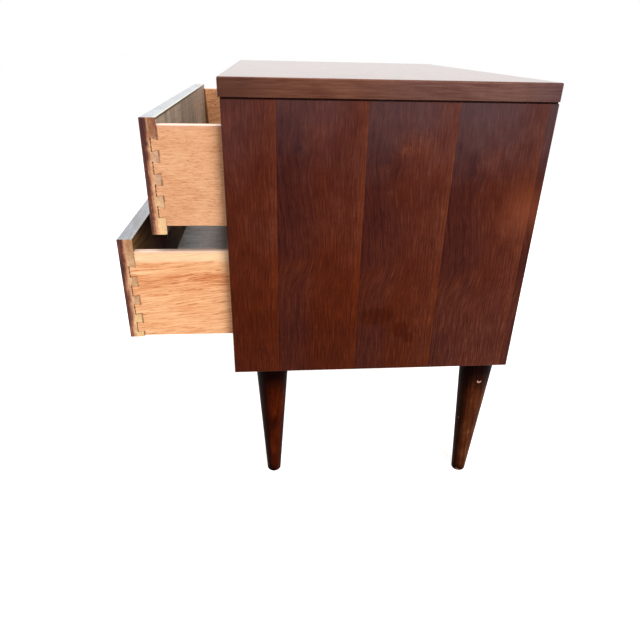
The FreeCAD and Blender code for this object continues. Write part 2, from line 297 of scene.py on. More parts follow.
VENEER_STOPS = row(
    (0, 23, 3, 4), (0.27, 48, 14, 10), (0.52, 65, 23, 12), (0.76, 84, 38, 25), (1, 130, 71, 46)
)
WALNUT_STOPS = row(
    (0, 44, 15, 14), (0.28, 66, 27, 21), (0.5, 88, 38, 26), (0.74, 110, 54, 36), (1, 150, 78, 48)
)
TOP_STOPS = row(
    (0, 52, 24, 18), (0.3, 84, 46, 34), (0.52, 107, 64, 47), (0.76, 126, 80, 58), (1, 158, 104, 74)
)
EDGE_STOPS = row(
    (0, 44, 22, 18), (0.3, 72, 43, 34), (0.52, 93, 60, 47), (0.76, 110, 75, 58), (1, 138, 98, 74)
)
LEG_STOPS = row((0, 10, 1, 1), (0.3, 36, 8, 2), (0.58, 70, 21, 4), (1, 122, 60, 26))
# Top edges of the drawer fronts: pale bluish-grey as a painted reflection of the sky
RIM_STOPS = row((0, 66, 46, 42), (0.4, 112, 98, 98), (0.62, 150, 142, 146), (1, 206, 206, 212))
BARE_END_STOPS = row((0, 104, 56, 36), (0.3, 152, 98, 68), (0.58, 194, 146, 108), (1, 240, 200, 160))
STAINED_END_STOPS = row((0, 44, 20, 20), (0.3, 88, 47, 38), (0.6, 146, 92, 68), (1, 200, 146, 108))
DULL_STOPS = row((0, 122, 96, 74), (0.35, 192, 169, 147), (0.6, 228, 206, 184), (1, 254, 242, 222))
# Inner-face colours darkened as painted shade, for the lower drawer that sits under the upper one
SHADED_STOPS = row((0, 44, 20, 6), (0.35, 88, 60, 34), (0.6, 122, 92, 54), (1, 164, 126, 84))
OAK_STOPS = row(
    (0, 164, 84, 44), (0.3, 208, 138, 90), (0.55, 222, 164, 118), (0.78, 234, 184, 138), (1, 250, 214, 172)
)
FINE_OAK_STOPS = row(
    (0, 140, 77, 44), (0.3, 190, 129, 88), (0.55, 208, 154, 114), (0.78, 219, 173, 133), (1, 234, 201, 166)
)
# Oak colours a little paler than OAK_STOPS, as painted light for the side boards' inner faces, which sit in shade
INSIDE_OAK_STOPS = row(
    (0, 160, 90, 50), (0.3, 214, 148, 100), (0.55, 230, 168, 122), (0.78, 240, 188, 142), (1, 252, 224, 184)
)
# Top edges of the side boards: pale oak, as a painted highlight where light from above catches them
OAK_RIM_STOPS = row((0, 180, 134, 112), (0.4, 208, 170, 148), (0.62, 222, 189, 168), (1, 240, 216, 198))
PLY_STOPS = row((0, 128, 118, 112), (0.35, 186, 177, 172), (0.6, 218, 210, 205), (1, 244, 238, 234))
GAP_STOPS = row((0, 30, 10, 3), (0.5, 84, 38, 12), (1, 130, 66, 26))
GLUE_STOPS = row((0, 104, 62, 38), (0.5, 164, 114, 80), (1, 214, 170, 128))
RAW_STOPS = row((0, 132, 98, 66), (0.4, 186, 152, 110), (0.65, 206, 174, 132), (1, 232, 208, 168))
ZINC_STOPS = row((0.3, 120, 118, 112), (0.7, 176, 174, 168))
TARNISH_STOPS = row((0.3, 30, 22, 17), (0.7, 58, 44, 35))


# Wood


def make_grain():
    """Growth rings, fine streaks and pores of a board whose grain runs along the vector's third part."""
    inputs = (("Place", "Vector"), ("Width", "Float"), ("Waver", "Float"), ("Slope", "Float"))
    titles = ("Rings", "Streaks", "Pores", "Clouds")
    tree, (place, ring_width, waver, slope), leave = new_group("wood_grain", inputs, titles)
    across, depth, along = split(place)
    slow = swing(across * 14, depth * 14, along * 4)
    quick = swing(across * 60, depth * 60, along * 16)
    shifted = across + (slow * waver) + (quick * waver * 0.22)
    sunk = depth + 0.06 + (along * slope)
    radius = ((shifted * shifted) + (sunk * sunk)).math("SQRT")
    turn = (radius / ring_width).math("FRACT")
    rings = turn * turn * turn.fall(0.86, 1)
    streaks = noise(shifted * 560, depth * 560, along * 26, 3, 0.62)
    pores = noise(shifted * 1300, depth * 1300, along * 95, 1).rise(0.58, 0.7)
    clouds = noise(across * 22, depth * 22, along * 5, 3, 0.6)
    for title, field in zip(titles, (rings, streaks, pores, clouds)):
        feed(leave.inputs[title], field)
    return tree


def make_wear():
    """The mottle that light handling leaves in a gloss."""
    tree, (place,), leave = new_group("handling_wear", (("Place", "Vector"),), ("Mottle",))
    x, y, z = split(place)
    feed(leave.inputs["Mottle"], noise(x * 26, y * 26, z * 26, 4, 0.6))
    return tree


GRAIN = make_grain()
WEAR = make_wear()

# How a board's grain is drawn: the width, waver and slope of its growth rings, then how strongly its rings,
# streaks, pores and clouds show
Figure = namedtuple("Figure", "ring_width waver slope rings streaks pores clouds")


def wood(
    name, order, shift, stops, figure, gloss, relief, touch=None, lean=0, shorten=1, patchy=1, **shader
):
    """A plain board finish. order names the axes that run across, through and along the board.

    shift places the board in its log, and touch adds its own marks to its colour. lean slants the grain,
    shorten draws its streaks shorter and patchy is how uneven the gloss is.
    """
    tree = new_material(name)
    axes = place_of(tree)
    across, through, along = [getattr(axes, axis) + move for axis, move in zip(order, shift)]
    place = join(across + (along * lean), through, along * shorten)
    ring_values = {"Width": figure.ring_width, "Waver": figure.waver, "Slope": figure.slope}
    grain = use_group(tree, GRAIN, Place=place, **ring_values)
    mottle = use_group(tree, WEAR, Place=place)["Mottle"] - 0.5
    streaks = grain["Streaks"] - 0.5
    rings_and_pores = ((grain["Rings"], -figure.rings), (grain["Pores"], -figure.pores))
    value = weigh(0.55, (streaks, figure.streaks), (grain["Clouds"] - 0.5, figure.clouds), *rings_and_pores)
    colour = shades(value, stops)
    if touch:
        colour = touch(axes, colour)
    roughness = weigh(gloss, (mottle, 0.18 * patchy), (streaks, 0.16 * patchy))
    height = weigh(0, (grain["Streaks"], 0.6), (grain["Pores"], -0.8), (grain["Rings"], -0.3))
    return finish(name, colour, roughness, raised(height, relief), **shader)


class Leaf:
    """Places on the side panels' veneer, and the marks that both its tone and its tints follow."""

    def __init__(self, axes):
        self.z = axes.z
        self.back = axes.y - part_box("side_panel_right")[0].y
        counted = (self.back - FIRST_SEAM) / LEAF_WIDTH
        self.number = counted.math("FLOOR")
        self.across = (counted - self.number) * LEAF_WIDTH
        self.height = self.z + (self.number * LEAF_SLIP)
        self.course = self.bent_course()

        self.clouds = swing(axes.y * 17, self.z * 11, 1, 4, 0.62)
        self.mottle = swing(self.across * 60, self.height * 48, self.number * 3, 4, 0.65)
        self.sloped = self.height - (self.across * 0.35) + (self.mottle * 0.014)
        self.hairs = swing(self.course * 560, self.height * 30, 2, 3, 0.72)
        self.pores = noise(self.course * 1300, self.height * 80, 5, 1).rise(0.56, 0.7)

        self.broad = (self.course + (self.mottle * 0.016)).fall(0.024, 0.054)
        self.strip = (self.across + (self.mottle * 0.004)).rise(0.096, 0.106)
        speckle = self.mottle + 0.55
        # Painted sheen: the swirling grain by the knot is drawn lighter and redder, standing in for its chatoyant
        # shimmer
        self.swirl_sheen = (self.sloped - 0.371).hill(0, 0.0085) * self.across.fall(0.034, 0.066) * speckle
        slanted = self.height - (self.across * 0.8)
        self.plume = slanted.hill(0.499, 0.011) * self.across.hill(0.046, 0.02) * speckle
        self.patch = self.near(0.238, 0.05, 0.022) * (self.z + (self.clouds * 0.04)).hill(0.52, 0.026)

    def bent_course(self):
        """The place across the leaf, bent as the fibres are: in a bow, round the knot and in small waves."""
        across, height = self.across, self.height
        bow = height.fall(0.392, 0.515) * height.rise(0.335, 0.394) * across.fall(0.04, 0.09) * 0.014
        round_knot = across.hill(KNOT_ACROSS, 0.014) * height.hill(KNOT_HEIGHT, 0.016)
        curl = (across - KNOT_ACROSS) * round_knot * 0.8
        drift = swing(across * 24, height * 8, 4) * 0.009
        wiggle = swing(across * 80, height * 55, 6) * 0.002
        return across - bow - curl + drift + wiggle

    def near(self, back, ragged, width):
        """1 at a distance behind the panel's front edge, with a ragged border."""
        return (self.back + (self.mottle * ragged)).hill(back, width)

    def level(self, height, ragged, width):
        """1 at a height above the floor, with a ragged border."""
        return (self.z + (self.mottle * ragged)).hill(height, width)

    def tone_value(self):
        """How pale the veneer is."""
        across, height, z, course = self.across, self.height, self.z, self.course
        strength = noise(course * 90, height * 16, self.number)
        wave = ((course * RING_TURNS) + (strength * 5)).math("SINE") * 0.5 + 0.5
        lines = wave.rise(0.45, 1) * self.broad * strength.rise(0.3, 0.62)
        band = (course + (self.mottle * 0.024)).fall(0.008, 0.044)
        below_knot = (height + (self.clouds * 0.08)).fall(0.515, 0.575)
        dark_heart = band * self.sloped.rise(0.364, 0.394) * below_knot
        knot = across.hill(KNOT_ACROSS, 0.008) * height.hill(KNOT_HEIGHT, 0.006)
        foot = z.fall(0.25, 0.41) * self.back.fall(0.1, 0.36)
        coarse = swing(course * 240, height * 12, 8, 2, 0.6)
        threads = weigh(0, (self.hairs, 1.2), (coarse, 0.17))
        fibres = threads * weigh(1, (self.strip, -0.3)) * weigh(1.16, (z.rise(0.26, 0.42), -0.3))
        seam = across.rise(0.09, 0.104) * weigh(0.03, (z.rise(0.28, 0.44), 0.05))
        return weigh(
            0.54, (dark_heart, -0.14), (lines, -0.13), (fibres, 1), (self.broad, -0.02), (self.clouds, 0.34),
            (self.mottle, 0.28), (across.rise(0.06, 0.104), 0.04), (seam, 1), (self.strip, 0.03),
            (across.rise(0.1052, 0.1064), 0.035), (across.fall(0.0004, 0.005), -0.07), (self.patch, 0.18),
            (self.swirl_sheen, 0.07), (self.plume, 0.2), (knot, -0.24), (self.pores, -0.12), (foot, -0.15),
        )

    def warmth(self, y):
        """Where the veneer is redder."""
        low_left = self.z.fall(0.3, 0.43) * self.back.fall(0.2, 0.36)
        fire = noise(y * 11, self.z * 9, 7, 3).rise(0.46, 0.66)
        base = weigh(0, (low_left, 0.95), (fire, 0.35), (self.patch, 0.8)) * weigh(1, (self.broad, -0.6))
        return base + weigh(0, (self.swirl_sheen, 0.6), (self.strip, 0.36), (self.plume, 0.5))

    def coolness(self, y):
        """Where the veneer is greyer."""
        violet = noise(y * 12, self.z * 10, 3, 3).rise(0.44, 0.6)
        return weigh(0, (self.broad, 0.65), (self.back.rise(0.1, 0.34), 0.5), (violet, 0.3))

    def rubs(self):
        """Three rubbed places low on the panel."""
        slope = self.z * 0.9
        slanting = (self.back + slope).hill(0.485, 0.016) * (self.back - slope).hill(-0.02, 0.014)
        upright = self.back.hill(0.246, 0.006) * self.level(0.267, 0.01, 0.007)
        return self.near(0.196, 0.02, 0.022) * self.level(0.303, 0.02, 0.013) + slanting + upright


def slipped_veneer():
    """Side panels: the same leaf of veneer laid edge to edge, each one slipped a little down."""
    name = "slip_matched_walnut"
    tree = new_material(name)
    axes = place_of(tree)
    leaf = Leaf(axes)
    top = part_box("side_panel_right")[1].z
    colour = shades(leaf.tone_value(), VENEER_STOPS)
    colour = tinted(colour, leaf.warmth(axes.y).capped(), 1.04, 0.82, 0.36)
    colour = tinted(colour, leaf.coolness(axes.y).capped(), 0.93, 1.22, 1.66)
    colour = tinted(colour, leaf.rubs().rise(0.12, 0.6), 0.72, 0.48, 0.22)
    blush = (leaf.back + (leaf.mottle * 0.02)).rise(0.338, 0.372) * leaf.level(0.45, 0.02, 0.03)
    colour = painted(colour, blush * 0.24, 152, 80, 50)
    # Painted reflection: a pale bluish-grey haze towards the top of the panel, stronger towards the back,
    # standing in for the sky seen in the lacquer
    painted_reflection = (leaf.z + weigh(0, (leaf.clouds, 0.09), (leaf.mottle, 0.04))).rise(0.455, 0.605)
    painted_reflection = painted_reflection * weigh(1, (leaf.across.rise(0.055, 0.1), -0.55))
    colour = painted(colour, painted_reflection * weigh(0.13, (leaf.back.rise(0, 0.36), 0.17)), 82, 84, 92)
    # Painted shadow: a near-black line along the top of the panel, just under the top
    colour = painted(colour, leaf.z.rise(top - 0.003, top - 0.0014) * 0.85, 14, 5, 4)
    mottle = use_group(tree, WEAR, Place=join(*axes))["Mottle"] - 0.5
    roughness = weigh(0.36, (mottle, 0.16), (leaf.hairs, 0.12))
    height = weigh(0, (leaf.hairs, 0.7), (leaf.pores, -0.8))
    return finish(name, colour, roughness, raised(height, 0.00006), shine=0.12, tint=AMBER)


def make_joint_lines():
    """Dark, broken glue lines round the tails of a dovetailed corner.

    Depth is the distance behind the drawer's face and Drop the distance below its top edge.
    """
    inputs = (("Depth", "Float"), ("Drop", "Float"), ("First", "Float"))
    tree, (depth, drop, first), leave = new_group("dovetail_lines", inputs, ("Lines",))
    counted = ((drop - first) / TAIL_PITCH) + 0.5
    number = counted.math("FLOOR").math("MAXIMUM", 0).math("MINIMUM", TAILS - 1)
    offset = drop - first - (number * TAIL_PITCH)
    away = offset.math("ABSOLUTE")
    root_half = TAIL_ROOT / 2
    tip_half = root_half + TAIL_FLARE
    waver = swing(depth * 500, drop * 500, 2) * 0.0006
    broken = noise(depth * 150, drop * 330, 5).rise(0.42, 0.52)
    uneven = noise(number * 7.3, first * 900, 5, 1).rise(0.38, 0.62)
    strong = noise(number * 5.1, first * 700, 9, 1).rise(0.44, 0.56)

    half = (((depth * -1) + FRONT_THICKNESS) * (TAIL_FLARE / TAIL_LENGTH)) + root_half
    beside = depth.rise(TAIL_TIP - 0.0003, TAIL_TIP + 0.0001)
    beside = beside * depth.fall(FRONT_THICKNESS + 0.0001, FRONT_THICKNESS + 0.0004)
    above_pin = offset.rise(0, 0.001) * weigh(0.25, (uneven, 0.75))
    edge = (away - half + waver) / weigh(0.00035, (above_pin, 0.0005))
    flanks = (edge * edge * -1).math("EXPONENT") * beside * above_pin * weigh(0.15, (broken, 0.5))
    tips = away.fall(tip_half - 0.0003, tip_half + 0.0005) * weigh(0.05, (broken, 0.95))
    tips = tips * (depth - (TAIL_TIP - 0.0005) + waver).hill(0, 0.0007)
    shoulders = away.rise(root_half - 0.0004, root_half + 0.0002) * weigh(0.15, (broken, 0.3), (strong, 0.55))
    shoulders = shoulders * (depth - FRONT_THICKNESS + waver).hill(0, 0.00095)
    feed(leave.inputs["Lines"], (flanks + tips + shoulders).capped())
    return tree


JOINT_LINES = make_joint_lines()


def joint_lines(prefix, axes):
    low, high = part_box(f"{prefix}_front")
    values = {"Depth": axes.y - low.y, "Drop": (axes.z * -1) + high.z, "First": CORNERS[prefix].first_tail}
    return use_group(axes.y.tree, JOINT_LINES, **values)["Lines"]


def drawer_end(prefix):
    """The ends of a drawer front: bare wood behind a strip of dark stain with a ragged border."""
    name = f"{prefix}_front_ends"
    tree = new_material(name)
    axes = place_of(tree)
    x, y, z = axes
    corner = CORNERS[prefix]
    low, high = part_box(f"{prefix}_front")
    depth = y - low.y
    fleck = swing(depth * 420, z * 420, x * 60, 3, 0.65)
    split_grain = swing((depth * 620) + (z * 60), z * 70, 1)
    patches = swing(z * 60, depth * 110, 5, 3)
    wavy = z + (patches * 0.02)

    # The ends grow darker towards their top, by each drawer's own amount
    darker_top = wavy.rise(high.z - 0.034, high.z - 0.012)
    value = weigh(0.6, (fleck, 0.5), (split_grain, 0.36), (patches, 0.65), (darker_top, -corner.soiling))
    bare = tinted(shades(value, BARE_END_STOPS), depth.rise(0.0105, 0.0125), *corner.pin_tint)
    lowest = wavy.fall(low.z + 0.02, low.z + 0.06) * depth.rise(0.008, 0.011)
    bare = painted(bare, lowest * 0.4, 252, 214, 150)

    ragged = swing(z * 42, x * 40, 3, 3, 0.6) * 0.0085
    reach = z.rise(low.z + 0.004, low.z + 0.045) * 0.0022
    inked = depth + ragged + (fleck * 0.0016) - reach + 0.0012
    brushed = swing((depth * 460) + (z * 12), z * 34, 1, 3)
    at_top = (z + (patches * 0.004)).rise(high.z - 0.034, high.z - 0.026) * corner.top_stain
    fading = (inked - (at_top * 0.0058)).rise(0.0008, 0.007)
    dark = shades(weigh(0.14, (brushed, 1.2), (fleck, 0.4), (fading, 0.56)), STAINED_END_STOPS)
    dark = tinted(dark, at_top, 0.92, 0.62, 0.96)
    colour = blend(inked.fall(0.0052, 0.0088), bare, dark)

    pale_line = (z + (patches * 0.006)).rise(high.z - 0.022, high.z - 0.012) * depth.hill(0.009, 0.0012)
    colour = painted(colour, pale_line * at_top * 0.45, 206, 166, 128)
    lines = joint_lines(prefix, axes)
    colour = painted(colour, lines, 98, 42, 10)
    height = weigh(0, (fleck, 0.6), (lines, -1.5))
    return finish(name, colour, weigh(0.55, (fleck, 0.2)), raised(height, 0.00012), shine=0.3, tint=HONEY)


def chips(axes, ragged):
    """Bare chips on the outward side of the back right leg and round its foot, and a small hole."""
    low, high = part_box("leg_back_right")
    middle = (low + high) / 2

    def spot_at(across, up, size, flat=1):
        """A ragged spot across the leg's middle and up from the floor. flat squashes it."""
        radius = LEG_FOOT_RADIUS + (LEG_TOP_RADIUS - LEG_FOOT_RADIUS) * up / high.z
        out = math.sqrt(radius * radius - across * across)
        apart = (axes.x - (middle.x + out), axes.y - (middle.y + across), (axes.z - up) * flat)
        away = (apart[0] * apart[0]) + (apart[1] * apart[1]) + (apart[2] * apart[2])
        return (away.math("SQRT") + ragged).fall(size, size + 0.0007)

    bare = spot_at(-0.0002, 0.1868, 0.0031, 1.5) * 0.85
    at_foot = ((-0.006, 0.0052, 0.0007), (-0.0036, 0.0032, 0.0011), (0, 0.0024, 0.0007))
    for across, up, size in ((-0.0162, 0.1095, 0.0004), *at_foot):
        bare = bare.math("MAXIMUM", spot_at(across, up, size) * 0.75)
    return bare, spot_at(0.0002, 0.1886, 0.0016)


def leg_finish():
    """Dark stained, turned legs, old chips showing bare wood, and painted shade at the top, front side, back edge
    and foot.
    """
    name = "stained_walnut_legs"
    tree = new_material(name)
    axes = place_of(tree)
    x, y, z = axes
    place = join(x, y, z)
    grain = use_group(tree, GRAIN, Place=place, Width=0.006, Waver=0.01, Slope=0.03)
    mottle = use_group(tree, WEAR, Place=place)["Mottle"] - 0.5
    turning = swing(x * 30, y * 30, z * 900, 1)
    front_low, front_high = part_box("leg_front_right")
    back_low, back_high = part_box("leg_back_right")
    front_middle = (front_low.y + front_high.y) / 2
    back_middle = (back_low.y + back_high.y) / 2
    at_back = y.math("GREATER_THAN", BACK_LEGS_FROM)
    turned = y - (at_back * (back_middle - front_middle)) - front_middle
    round_it = turned / (z * LEG_TAPER + LEG_FOOT_RADIUS)
    # The back legs are paler and greyer than the front ones
    toward_back = y.rise(0, back_low.y)

    # The value falls towards the top of each leg as painted shadow under the case
    value = weigh(
        0.54, (grain["Streaks"] - 0.5, 0.5), (grain["Rings"], -0.16), (mottle, 0.55), (turning, 0.1),
        (z.rise(0.15, 0.214), -0.58), (grain["Pores"], -0.08), (toward_back, 0.08),
    )
    colour = tinted(shades(value, LEG_STOPS), toward_back * 0.8, 1.22, 2.5, 4.6)
    # Painted shade on the side of each leg that faces the front, a little less on the back legs
    painted_front_shade = (round_it + (at_back * 0.2)).fall(-0.62, -0.06)
    colour = tinted(colour, painted_front_shade * 0.92, 0.11, 0.06, 0.07)
    # Painted shade along the back edge of each leg
    colour = tinted(colour, round_it.rise(0.62, 0.92) * 0.8, 0.25, 0.18, 0.2)
    # Painted shadow at the foot, where the leg meets the floor
    foot = z.fall(0.003, 0.02) * round_it.fall(-0.1, 0.9)
    colour = tinted(colour, foot, 0.1, 0.05, 0.06)
    ragged = swing(x * 420, y * 420, z * 420) * 0.0022
    bare, hole = chips(axes, ragged)
    rub = (z + ragged + (mottle * 0.008)).fall(0.0002, 0.0022) * 0.16
    colour = painted(colour, bare.math("MAXIMUM", rub), 190, 142, 122)
    colour = painted(colour, hole, 16, 4, 2)
    height = weigh(0, (grain["Streaks"], 0.6), (grain["Pores"], -0.6), (bare, -2))
    return finish(name, colour, weigh(0.42, (mottle, 0.22)), raised(height, 0.0001), shine=0.012, tint=AMBER)


def steel(name, stops):
    """Cloudy plated steel of the bolts and screws."""
    x, y, z = place_of(new_material(name))
    cloud = noise(x * 300, y * 300, z * 300, 3, 0.6)
    return finish(name, shades(cloud, stops), weigh(0.25, (cloud, 0.25)), raised(cloud, 0.00004), metallic=1)


# Marks of single boards, each a touch for wood()


def edge_fade(axes, colour):
    """The edging of the top: redder at its front end, greyer towards the back, with faint cross bands."""
    low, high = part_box("top_slab")
    colour = tinted(colour, axes.y.fall(low.y + 0.02, low.y + 0.075), 0.62, 0.6, 0.68)
    colour = tinted(colour, axes.y.rise(low.y + 0.12, low.y + 0.26), 0.97, 1.2, 1.6)
    colour = tinted(colour, axes.y.rise(high.y - 0.06, high.y), 0.8, 0.88, 1.08)
    colour = tinted(colour, axes.z.fall(low.z, high.z - 0.004), 0.84, 0.8, 0.78)
    bands = swing(axes.y * 60, 3, 1).math("ABSOLUTE")
    return painted(colour, bands * 0.9, 70, 44, 40)


def painted_drawer_shadow(axes, colour):
    """Painted shadow of the upper drawer on the inner face, deepest just right of its middle."""
    return tinted(colour, axes.x.hill(0.08, 0.11), 0.22, 0.02, 0.01)


def streaked_face(axes, colour):
    """Upright streaks on the inner face, a dark arris at its top and painted shade below the drawer's bottom."""
    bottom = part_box("upper_drawer_side_right")[0].z
    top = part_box("upper_drawer_front")[1].z
    streaks = swing(axes.x * 46, axes.z * 7, 4, 3, 0.6)
    dark = weigh(0.62, (streaks, 3.6), (axes.x.hill(-0.03, 0.04), 0.4), (axes.z.rise(0.47, 0.545), -0.34))
    colour = tinted(colour, dark.capped(), 0.44, 0.49, 0.5)
    colour = painted(colour, axes.z.rise(top - 0.0034, top - 0.0018) * 0.8, 74, 56, 34)
    # Painted shade on the inner face below the drawer's bottom
    return painted(colour, axes.z.fall(bottom - 0.0005, bottom + 0.001) * 0.85, 34, 16, 8)


def painted_light_inside(axes, colour):
    """Painted light on the drawer bottoms: a faint bluish sky reflection all over, growing paler towards the back
    under the case.
    """
    colour = tinted(colour, 1, 0.97, 1.05, 1.1)
    return painted(colour, axes.y.rise(-0.205, -0.14) * 0.65, 248, 246, 242)


def joints_of(prefix, band, band_colour, worn=0):
    """Side boards: glue lines round the tails, and a band of another tone along the top, patchy if worn."""
    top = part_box(f"{prefix}_side_right")[1].z

    def touch(axes, colour):
        ragged = axes.z + (swing(axes.y * 30, axes.z * 60, 2) * 0.006)
        patchy = weigh(0.5 - (worn * 0.5), (noise(axes.y * 90, 1, 3).rise(0.36, 0.6), worn))
        inside = ragged.rise(top - band - 0.002, top - band + 0.002)
        colour = painted(colour, inside * patchy, *band_colour)
        return painted(colour, joint_lines(prefix, axes), 116, 54, 12)

    return touch


def oak_inside(prefix):
    """The inner faces of the side boards: waved grain, and a painted shadow line in the corner behind the front.
    """
    back_of_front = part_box(f"{prefix}_front")[1].y
    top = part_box(f"{prefix}_side_right")[1].z

    def painted_corner_shadow(axes, colour):
        # Painted shadow: a dark line in the corner where the side board meets the back of the front, wider low
        # down
        reach = (axes.y - back_of_front) + ((axes.z - top) * 0.05)
        return painted(colour, reach.fall(0.001, 0.0034) * 0.9, 104, 62, 30)

    return wood(
        f"{prefix}_oak_inside", "zxy", (-0.4, 0.02, 0.4), INSIDE_OAK_STOPS, WAVED_OAK,
        0.48, 0.00012, painted_corner_shadow, shorten=2, shine=0.3, tint=HONEY,
    )


def front_rim(prefix):
    """The top edge of a drawer front: pale and bluish as a painted reflection of the sky, worn to a warmer line
    along its inner arris.
    """
    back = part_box(f"{prefix}_front")[1].y

    def worn_arris(axes, colour):
        # Painted reflection: a cool bluish cast over the whole top edge
        colour = tinted(colour, 1, 0.76, 1, 1.14)
        worn = axes.y.rise(back - 0.006, back - 0.002) * CORNERS[prefix].worn_arris
        return painted(colour, worn, 206, 198, 160)

    return wood(
        f"{prefix}_front_top_edge", "yzx", (0.2, 0.05, 0.4), RIM_STOPS, RIM_FIGURE,
        0.22, 0.00001, worn_arris, patchy=0.4, coat=0.6, coat_roughness=0.14,
    )


# Board finishes. Gloss and relief follow the figure: a lower gloss shines more, and relief is in metres.


TOP_FIGURE = Figure(0.0075, 0.03, 0.05, 0.22, 0.5, 0.1, 0.35)
EDGING_FIGURE = Figure(0.005, 0.012, 0.03, 0.16, 0.75, 0.14, 0.35)
FACE_FIGURE = Figure(0.008, 0.03, 0.05, 0.22, 0.6, 0.12, 0.4)
RIM_FIGURE = Figure(0.004, 0.01, 0.03, 0.2, 0.7, 0.1, 0.6)
PULL_FIGURE = Figure(0.004, 0.01, 0.03, 0.22, 0.6, 0.12, 0.4)
FINE_OAK = Figure(0.006, 0.01, 0.015, 0.12, 0.8, 0.26, 0.12)
WAVY_OAK = Figure(0.0085, 0.026, 0.03, 0.32, 1.4, 0.36, 0.16)
WAVED_OAK = Figure(0.0085, 0.045, 0.09, 0.3, 1.1, 0.8, 0.16)
OAK_END_FIGURE = Figure(0.006, 0.01, 0.015, 0.1, 0.5, 0.15, 0.26)
CALM_FIGURE = Figure(0.006, 0.004, 0.01, 0.1, 0.6, 0.2, 0.2)
SHADED_FACE_FIGURE = Figure(0.006, 0.02, 0.03, 0.2, 1, 0.2, 0.5)
GAP_FIGURE = Figure(0.006, 0.02, 0.03, 0.2, 0.6, 0.2, 0.4)
GLUE_FIGURE = Figure(0.006, 0.02, 0.03, 0.1, 0.6, 0.4, 0.6)
PLY_FIGURE = Figure(0.012, 0.004, 0.004, 0.12, 0.8, 0.4, 0.14)
RAW_FIGURE = Figure(0.007, 0.02, 0.03, 0.25, 0.5, 0.12, 0.4)
SHEET_FIGURE = Figure(0.026, 0.05, 0.02, 0.3, 0.5, 0.08, 0.5)

VENEER = slipped_veneer()
TOP = wood("walnut_top", "yzx", (0.03, 0.02, 0.4), TOP_STOPS, TOP_FIGURE, 0.12, 0.000002, patchy=0.2)
EDGE = wood(
    "walnut_edging", "zxy", (-0.57, 0.02, 0.3), EDGE_STOPS, EDGING_FIGURE,
    0.3, 0.00005, edge_fade, shine=0.25, tint=AMBER,
)
LONG_EDGE = wood(
    "walnut_long_edging", "zyx", (-0.57, 0.02, 0.3), WALNUT_STOPS, EDGING_FIGURE,
    0.32, 0.00005, shine=0.12, tint=AMBER,
)
FACE = wood(
    "walnut_drawer_face", "zyx", (-0.4, 0.05, 0.4), WALNUT_STOPS, FACE_FIGURE,
    0.34, 0.00006, shine=0.12, tint=AMBER,
)
PULL = wood(
    "walnut_pull", "zyx", (-0.4, 0.05, 0.4), WALNUT_STOPS, PULL_FIGURE,
    0.32, 0.00006, shine=0.16, tint=AMBER,
)
OAK_FINE = wood(
    "oak_upper_drawer", "zxy", (-0.46, 0.02, 0.6), FINE_OAK_STOPS, FINE_OAK,
    0.48, 0.00012, joints_of("upper_drawer", 0.004, (206, 148, 128), 0.4),
    shorten=2, shine=0.3, tint=HONEY,
)
OAK_WAVY = wood(
    "oak_lower_drawer", "zxy", (-0.29, 0.02, 0.2), OAK_STOPS, WAVY_OAK,
    0.48, 0.00012, joints_of("lower_drawer", 0.014, (250, 220, 178)),
    lean=-0.12, shorten=0.75, shine=0.3, tint=HONEY,
)
# Side boards' top edges, pale as a painted highlight
OAK_RIM = wood("oak_side_top_edge", "xzy", (0.2, 0.05, 0.4), OAK_RIM_STOPS, OAK_END_FIGURE, 0.34, 0.00006)
INNER = wood(
    "drawer_inner_face", "zyx", (-0.45, 0.03, 0.4), DULL_STOPS, CALM_FIGURE,
    0.45, 0.0001, streaked_face, shine=0.3,
)
# The lower drawer's inner face: a darker copy of the inner face, as painted shade under the upper drawer
INNER_SHADED = wood(
    "lower_drawer_inner_face_shaded", "zyx", (-0.3, 0.03, 0.4), SHADED_STOPS, SHADED_FACE_FIGURE,
    0.45, 0.0001, painted_drawer_shadow, shine=0.03, tint=AMBER,
)
GAP = wood("dark_joint_gap", "zxy", (0.1, 0.02, 0.1), GAP_STOPS, GAP_FIGURE, 0.7, 0.00005, shine=0.05)
GLUE = wood(
    "dried_glue_and_dust", "zxy", (0.1, 0.02, 0.1), GLUE_STOPS, GLUE_FIGURE,
    0.6, 0.0001, shine=0.3, tint=HONEY,
)
# Drawer bottoms: plywood, tinted bluish and paler towards the back as painted light
PLY = wood(
    "drawer_plywood", "xzy", (0.1, 0.02, 0.4), PLY_STOPS, PLY_FIGURE,
    0.26, 0.00002, painted_light_inside, shine=0.7, coat=0.6, coat_roughness=0.2,
)
RAW, RAW_CROSS = [
    wood(name, order, (-0.3, 0.03, 0.3), RAW_STOPS, RAW_FIGURE, 0.62, 0.00014, shine=0.2)
    for name, order in (("sawn_poplar", "zxy"), ("sawn_poplar_rail", "zyx"))
]
SHEET = wood("birch_plywood", "xyz", (0.17, 0.02, 0.2), RAW_STOPS, SHEET_FIGURE, 0.55, 0.00008, shine=0.25)
SHEET_FLAT = wood(
    "birch_plywood_flat", "yzx", (0.13, 0.02, 0.2), RAW_STOPS, SHEET_FIGURE,
    0.55, 0.00008, shine=0.25,
)
LEGS = leg_finish()
ZINC = steel("zinc_plated_steel", ZINC_STOPS)
TARNISHED = steel("tarnished_steel", TARNISH_STOPS)


# Pieces


def from_solid(node):
    """The merged, clean faces of a solid, to be refined into a finished piece."""
    bm = bmesh.new()
    bm.from_mesh(frame["nodes"][node].data)
    bmesh.ops.remove_doubles(bm, verts=bm.verts[:], dist=MERGED)
    bmesh.ops.dissolve_limit(bm, angle_limit=math.radians(1), verts=bm.verts[:], edges=bm.edges[:])
    return bm


